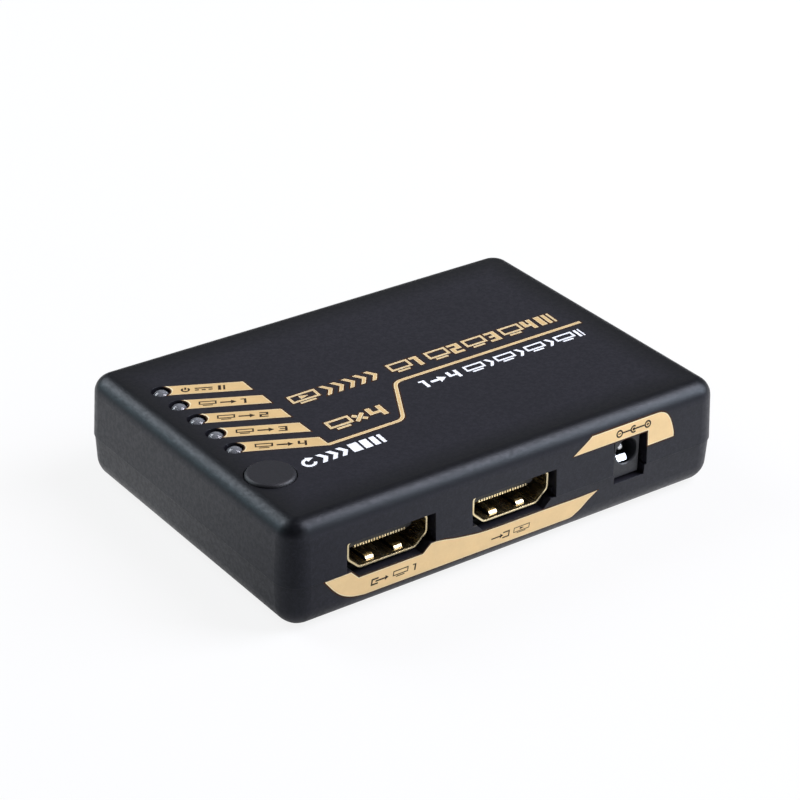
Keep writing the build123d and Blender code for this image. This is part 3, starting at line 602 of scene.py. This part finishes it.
class Prints:
    """Gathers printed outlines by ink, and makes one thin mesh of each ink."""

    def __init__(self, tree):
        self.tree = tree
        self.inks = {}
        self.count = 0

    def on_roof(self, point, lift):
        """Place on the roof, from a print's own place and its height above the surface."""
        return Vector((point[0] + corner_x, point[1] + corner_y, roof_z + lift)) * MM

    def on_front(self, point, lift):
        """Place on the front wall at that height, found beside the windows and moved along the wall."""
        start = Vector((clear_x + corner_x, corner_y - front_reach, point[1])) * MM
        place, normal, number, distance = self.tree.ray_cast(start, Vector((0, 1, 0)))
        return place + normal * lift * MM + Vector((point[0] - clear_x, 0, 0)) * MM

    def lay(self, ink, outlines, put, lift, fine=False):
        """Adds outlines in one ink, each a hair above the last so that no two faces share a plane."""
        for outline in outlines:
            self.count += 1
            hair = (self.count % hair_turns) * hair_step
            patch = bmesh.new()
            corners = [patch.verts.new((point[0], point[1], 0)) for point in outline]
            patch.faces.new(corners)
            patch.normal_update()
            bmesh.ops.triangulate(patch, faces=patch.faces[:], ngon_method="EAR_CLIP")
            if fine:
                self.divide(patch)
            target = self.inks.setdefault(ink, bmesh.new())
            found = {vert: target.verts.new(put(vert.co, lift + hair)) for vert in patch.verts}
            for face in patch.faces:
                target.faces.new([found[vert] for vert in face.verts])
            patch.free()

    def divide(self, patch):
        """Cuts a patch along even lines, so that it can follow a curved wall."""
        for axis, step in enumerate(cut_steps):
            values = [vert.co[axis] for vert in patch.verts]
            place = math.floor(min(values) / step) * step + step
            across = Vector((1, 0, 0)) if axis == 0 else Vector((0, 1, 0))
            while place < max(values):
                everything = patch.verts[:] + patch.edges[:] + patch.faces[:]
                bmesh.ops.bisect_plane(patch, geom=everything, plane_co=across * place, plane_no=across)
                place += step
        bmesh.ops.triangulate(patch, faces=patch.faces[:])

    def gold(self, outlines, put, ink="gold_ink", fine=False):
        """Gold outlines: a thin dark edge below, a painted highlight rim and the face inside it."""
        self.lay("edge_ink", [grown(outline, edge_spread) for outline in outlines], put, edge_lift, fine)
        # painted highlight: a pale rim of ink round every gold outline
        self.lay("highlight_ink", outlines, put, highlight_rim_lift, fine)
        self.lay(ink, [grown(outline, -highlight_rim_width) for outline in outlines], put, ink_lift, fine)

    def finish(self, made):
        """Makes one object of each ink, on the case."""
        for ink, gathered in self.inks.items():
            mesh = bpy.data.meshes.new("print_" + ink)
            bmesh.ops.recalc_face_normals(gathered, faces=gathered.faces[:])
            gathered.to_mesh(mesh)
            gathered.free()
            mesh.materials.append(made[ink])
            piece = bpy.data.objects.new("print_" + ink, mesh)
            bpy.context.scene.collection.objects.link(piece)
            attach(piece, "case")


def cover_tree():
    """Search tree over the outside of both covers."""
    places, faces = [], []
    for name in ("top_cover", "bottom_cover"):
        mesh = nodes[name].data
        start = len(places)
        places += [vert.co.copy() for vert in mesh.vertices]
        faces += [[start + number for number in face.vertices] for face in mesh.polygons]
    return BVHTree.FromPolygons(places, faces)


# Printed places, in millimetres from the case's front left corner; a mark also has its height and stroke weight
light_x = 6.95
light_rows = [46.6, 41.25, 35.9, 30.55, 25.2]
light_ring = 1.65
# Painted highlight at each light's hole: the width of a pale crescent of ink and its span in degrees
glint_width = 0.26
glint_turn = (-25, 35)
ring_span = (-80, 44)
bar_corners = [((19.39, 42.3), (19.26, 39.2)), ((19.52, 36.82), (19.39, 33.94)),
               ((19.49, 31.54), (19.43, 28.51)), ((19.42, 26.27), (19.39, 23.05))]
line_points = [(19.3, 18.2), (33.39, 18.2), (39.28, 28.8), (77.1, 28.8)]
line_bend = 2.4
line_width = 0.62
last_bar_top = (19.45, 20.85)
bar_slope = -25.4
bar_mark_shift = (2.4, -1.95)
bar_mark = (1.35, 0.3)
bar_mark_scale = 1.08
roof_slant = 0.08
title_place = (21.9, 31.05)
title_mark = (3.05, 0.8)
title_turn = 0.2
times_place = (22.2, 21.1)
ratio_place = (42.1, 24.45)
ratio_mark = (2.35, 0.62)
ratio_turn = 0.4
reset_place = (12.5, 14.0)
reset_mark = (2.5, 0.85)
front_slant = 0.1
outlet_place = (14.8, 3.95)
outlet_mark = (1.2, 0.28)
inlet_place = (37.3, 3.75)
inlet_mark = (1.15, 0.24)
polarity_place = (61.45, 14.38)
polarity_mark = (1.35, 0.27)
plate_left = [(13.8, 2.85), (11.4, 3.36), (9.5, 4.3), (8.06, 5.66), (6.93, 7.07), (6.45, 7.7)]
plate_window = [(8.1, 7.75), (11.12, 7.78), (12.55, 6.35), (24.3, 6.35), (25.72, 7.75)]
plate_wave = [(26.7, 7.79), (28.4, 7.5), (30.1, 7.1), (32.5, 6.72), (35.2, 6.38), (38.8, 6.26), (42.6, 6.26)]
plate_right = [(46.5, 6.25), (54.5, 6.15), (58.1, 6.25), (56.4, 5.1), (55.1, 4.0), (53.3, 2.85), (52.7, 2.75)]
inlet_left = [(52.95, 13.9), (56.7, 16.25), (63.0, 16.27)]
inlet_right = [(69.8, 16.3), (70.8, 16.2), (71.85, 15.65), (72.7, 14.3), (73.3, 12.3), (73.36, 11.25)]
inlet_window = [(68.02, 11.2), (68.02, 13.92)]


def bar(centre_y, top_right, low_right):
    """Slanted bar that starts at a light's hole."""
    rim = arc((light_x, centre_y), light_ring, *ring_span, 12)
    return rim + [top_right, low_right]


def print_roof(prints):
    """Bars, line and marks on the top, with a painted highlight at each light's hole."""
    for centre_y, (top_right, low_right) in zip(light_rows, bar_corners):
        prints.gold([bar(centre_y, top_right, low_right)], prints.on_roof)
        # painted highlight: a pale crescent where the hole's edge catches the light
        rim = arc((light_x, centre_y), light_ring + glint_width / 2, *glint_turn, 8)
        prints.lay("highlight_ink", [stroke(rim, glint_width)], prints.on_roof, mark_lift)
    path = rounded(line_points, line_bend)
    half = line_width / 2
    last_bar = bar(light_rows[-1], last_bar_top, (last_bar_top[0], line_points[0][1] + half))
    prints.gold([last_bar + [(last_bar_top[0], line_points[0][1] - half)]], prints.on_roof)
    prints.gold([stroke(path, line_width)], prints.on_roof)
    title = moved(title_marks(*title_mark), frame_of(title_place, title_turn, roof_slant))
    prints.gold(title, prints.on_roof)
    prints.gold(moved(times_marks(), frame_of(times_place, 0, roof_slant)), prints.on_roof)
    white = moved(ratio_marks(*ratio_mark), frame_of(ratio_place, ratio_turn, roof_slant))
    white += moved(reset_marks(*reset_mark), frame_of(reset_place, 0, roof_slant))
    prints.lay("white_ink", white, prints.on_roof, ink_lift)
    for number, centre_y in enumerate(light_rows):
        shapes = outlet_marks(number, *bar_mark) if number else power_marks(*bar_mark)
        start = (light_x + bar_mark_shift[0], centre_y + bar_mark_shift[1])
        put = frame_of(start, bar_slope, roof_slant, bar_mark_scale)
        prints.lay("dark_ink", moved(shapes, put), prints.on_roof, mark_lift)


def print_front(prints):
    """The two gold plates on the front wall, with their marks."""
    plate = smooth(plate_left) + plate_window + smooth(plate_wave) + plate_right
    prints.gold([plate], prints.on_front, "plate_ink", fine=True)
    inlet = inlet_left + smooth(inlet_right) + inlet_window
    prints.gold([inlet], prints.on_front, "plate_ink", fine=True)
    marks = moved(outlet_plate_marks(*outlet_mark), frame_of(outlet_place, 0, front_slant))
    marks += moved(inlet_plate_marks(*inlet_mark), frame_of(inlet_place, 0, front_slant))
    marks += moved(polarity_marks(*polarity_mark), frame_of(polarity_place))
    prints.lay("dark_ink", marks, prints.on_front, mark_lift, fine=True)


def revolve(profile, steps=28):
    """Mesh of a profile of radius and height turned round the upright axis."""
    shape = bmesh.new()
    rings = []
    for step in range(steps):
        angle = 2 * math.pi * step / steps
        way = Vector((math.cos(angle), math.sin(angle), 0)) * MM
        places = [way * radius + Vector((0, 0, height * MM)) for radius, height in profile]
        rings.append([shape.verts.new(place) for place in places])
    for first, second in zip(rings, rings[1:] + rings[:1]):
        for number in range(len(profile) - 1):
            shape.faces.new([first[number], second[number], second[number + 1], first[number + 1]])
    bmesh.ops.remove_doubles(shape, verts=shape.verts[:], dist=1e-7)
    bmesh.ops.recalc_face_normals(shape, faces=shape.faces[:])
    return shape


def upright(shape, outline, thickness):
    """Adds an upright plate to a mesh: an outline across and up, given a thickness along Y."""
    corners = [Vector((across, 0, up)) for across, up in outline]
    sides = []
    for way in (-0.5, 0.5):
        step = Vector((0, way * thickness, 0))
        sides.append([shape.verts.new((corner + step) * MM) for corner in corners])
    shape.faces.new(sides[0])
    shape.faces.new(sides[1][::-1])
    count = len(corners)
    for number in range(count):
        after = (number + 1) % count
        shape.faces.new([sides[0][number], sides[1][number], sides[1][after], sides[0][after]])


def piece_of(shape, name, material, body):
    """Object made from a mesh under construction, riding on a body."""
    bmesh.ops.recalc_face_normals(shape, faces=shape.faces[:])
    mesh = bpy.data.meshes.new(name)
    shape.to_mesh(mesh)
    shape.free()
    mesh.materials.append(material)
    piece = bpy.data.objects.new(name, mesh)
    bpy.context.scene.collection.objects.link(piece)
    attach(piece, body)
    return piece


# Inside of a light, from its middle and its base: the cup in section, and the two posts seen from the front
cup_section = [(0, 2.55), (0.16, 2.55), (0.34, 2.95), (0.46, 2.98), (0.52, 2.9), (0.44, 2.2), (0, 2.2)]
cup_post = [(-1.52, 0.05), (-1.02, 0.05), (-1.02, 1.2), (0.3, 2.0), (0.3, 2.3), (-0.3, 2.3), (-0.55, 2.05),
            (-1.52, 1.6)]
thin_post = [(1.02, 0.05), (1.52, 0.05), (1.52, 1.5), (1.15, 2.6), (0.72, 3.0), (0.62, 2.8), (0.86, 2.3),
             (1.02, 1.5)]
post_thickness = 0.42
post_rounding = 0.04

# Snap dome of the switch: its sheet, the flat top as a share of its width, and the steps round it
dome_sheet = 0.08
dome_top_share = 0.45
dome_steps = 48


def light_insides(made):
    """Lead frame of each light inside its clear body: the cup with its post, and the thinner second post."""
    for name in ("power", "output_1", "output_2", "output_3", "output_4"):
        low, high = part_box(name + "_light")
        centre = (low + high) / 2
        shape = revolve(cup_section)
        upright(shape, cup_post, post_thickness)
        upright(shape, thin_post, post_thickness)
        matrix = Matrix.Translation(Vector((centre.x, centre.y, low.z)))
        bmesh.ops.transform(shape, matrix=matrix, verts=shape.verts[:])
        piece = piece_of(shape, name + "_light_frame", made["tinned_metal"], "case")
        rounding = piece.modifiers.new("rounding", "BEVEL")
        rounding.width = post_rounding * MM
        rounding.segments = 2
        rounding.limit_method = "ANGLE"


def snap_dome(made):
    """Snap dome of the switch in its resting shape, in place of the CAD node's dome."""
    low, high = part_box("switch_dome")
    rim = (high.x - low.x) / 2 / MM
    rise = (high.z - low.z) / MM
    crown = rim * dome_top_share
    under = [(0, rise - dome_sheet), (crown, rise - dome_sheet), (rim - dome_sheet, 0)]
    over = [(rim, 0), (crown, rise), (0, rise)]
    shape = revolve(under + over, dome_steps)
    foot = Vector(((low.x + high.x) / 2, (low.y + high.y) / 2, low.z))
    bmesh.ops.transform(shape, matrix=Matrix.Translation(foot), verts=shape.verts[:])
    piece = piece_of(shape, "snap_dome", made["switch_steel"], "case")
    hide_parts("switch_dome")
    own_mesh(piece)


def make_camera():
    """Camera of the photograph."""
    data = bpy.data.cameras.new("camera")
    data.lens = camera_lens
    data.sensor_width = sensor_width
    data.clip_start = 0.01
    data.clip_end = 20.0
    camera = bpy.data.objects.new("camera", data)
    axes = Matrix((camera_right, camera_up, -camera_forward)).transposed().to_4x4()
    camera.matrix_world = Matrix.Translation(camera_place) @ axes
    bpy.context.scene.collection.objects.link(camera)
    bpy.context.scene.camera = camera


def soft_light(name, direction, power, tint):
    """Rectangular soft light that faces the middle of the case."""
    data = bpy.data.lights.new(name, "AREA")
    data.shape = "RECTANGLE"
    data.size = lamp_width
    data.size_y = lamp_height
    data.energy = power
    data.color = tint
    lamp = bpy.data.objects.new(name, data)
    target = Vector((0, 0, roof_z * MM / 2))
    way = Vector(direction).normalized()
    lamp.location = target + way * lamp_distance
    lamp.rotation_mode = "QUATERNION"
    lamp.rotation_quaternion = way.to_track_quat("Z", "Y")
    bpy.context.scene.collection.objects.link(lamp)


# Soft lights, all of one size and distance in metres: each has its direction, its power and its tint
lamp_distance = 1.0
lamp_width = 0.55
lamp_height = 0.5
light_plan = [
    ("right_high", (0.52, -0.28, 0.81), 6.6, (1.0, 0.96, 1.08)),
    ("right_mid", (0.75, -0.45, 0.5), 7.5, (0.9, 0.98, 1.12)),
    ("left_high", (-0.33, 0.71, 0.62), 5.1, (0.95, 0.99, 1.06)),
    ("left_mid", (-0.6, 0.7, 0.35), 1.75, (0.7, 0.95, 1.06)),
    ("back", (0.52, 0.7, 0.45), 0.3, (1.0, 1.0, 1.0)),
    ("front", (0.15, -0.9, 0.2), 0.8, (1.0, 1.0, 1.04)),
]


def make_lights():
    """Soft lights to the left and right of the view, and weak ones behind and in front."""
    for name, direction, power, tint in light_plan:
        soft_light(name, direction, power, tint)


def seen_share(tree):
    """1 for rays from the camera, a mirror or glass, and 0 for the rest."""
    path = add(tree, "LightPath")
    seen = maths(tree, "MAXIMUM", path.outputs["Is Camera Ray"], path.outputs["Is Glossy Ray"])
    return maths(tree, "MAXIMUM", seen, path.outputs["Is Transmission Ray"])


# Floor and surroundings, in metres: the world's faint light on the object, how much of the floor's white is its
# own, its reach and grey, and the place before the front left corner where the floor's glow is painted darker in
# reflections only, a painted shade on the case's near corner
world_fill = 0.02
world_tint = (0.9, 0.95, 1.0, 1.0)
floor_glow = 0.86
floor_reach = 3.0
floor_grey = (0.82, 0.82, 0.82, 1.0)
reflected_shade_middle = (-0.062, -0.058, 0.0)
reflected_shade_inner = 0.015
reflected_shade_outer = 0.075
reflected_shade_share = 0.85


def reflected_shade_patch(tree):
    """Painted shade in reflections: how much darker glossy rays find the floor before the front left corner, and 0
    for other rays.
    """
    place = add(tree, "NewGeometry").outputs["Position"]
    away = add(tree, "VectorMath", {0: place, 1: reflected_shade_middle}, operation="DISTANCE").outputs["Value"]
    near = spread(tree, away, reflected_shade_inner, reflected_shade_outer, reflected_shade_share, 0.0)
    return maths(tree, "MULTIPLY", near, add(tree, "LightPath").outputs["Is Glossy Ray"])


def make_surroundings():
    """White floor that keeps a faint shadow and has a painted darker patch in its reflections, and a white
    surrounding.
    """
    world = bpy.data.worlds.new("surroundings")
    world.use_nodes = True
    tree = world.node_tree
    tree.nodes.clear()
    path = add(tree, "LightPath")
    white = add(tree, "Background", {"Color": plain_tint, "Strength": 1.0})
    dim = add(tree, "Background", {"Color": world_tint, "Strength": world_fill})
    mixed = add(tree, "MixShader", {0: path.outputs["Is Camera Ray"], 1: dim.outputs[0], 2: white.outputs[0]})
    output = add(tree, "OutputWorld")
    tree.links.new(mixed.outputs[0], output.inputs["Surface"])
    bpy.context.scene.world = world

    mesh = bpy.data.meshes.new("floor")
    shape = bmesh.new()
    bmesh.ops.create_grid(shape, x_segments=4, y_segments=4, size=floor_reach)
    shape.to_mesh(mesh)
    shape.free()
    floor = bpy.data.objects.new("floor", mesh)
    bpy.context.scene.collection.objects.link(floor)
    material = bpy.data.materials.new("floor_paper")
    material.use_nodes = True
    tree = material.node_tree
    tree.nodes.clear()
    paper = add(tree, "BsdfDiffuse", {"Color": floor_grey})
    # painted shade: the floor's glow is made darker in reflections before the front left corner
    strength = maths(tree, "SUBTRACT", 1.0, reflected_shade_patch(tree))
    glow = add(tree, "Emission", {"Color": plain_tint, "Strength": strength})
    bright = add(tree, "MixShader", {0: floor_glow, 1: paper.outputs[0], 2: glow.outputs[0]})
    mixed = add(tree, "MixShader", {0: seen_share(tree), 1: paper.outputs[0], 2: bright.outputs[0]})
    output = add(tree, "OutputMaterial")
    tree.links.new(mixed.outputs[0], output.inputs["Surface"])
    mesh.materials.append(material)


materials = make_materials()
make_camera()
make_surroundings()
make_lights()
dress(materials)
all_prints = Prints(cover_tree())
print_roof(all_prints)
print_front(all_prints)
all_prints.finish(materials)
light_insides(materials)
snap_dome(materials)
bpy.context.scene.view_settings.view_transform = "Standard"
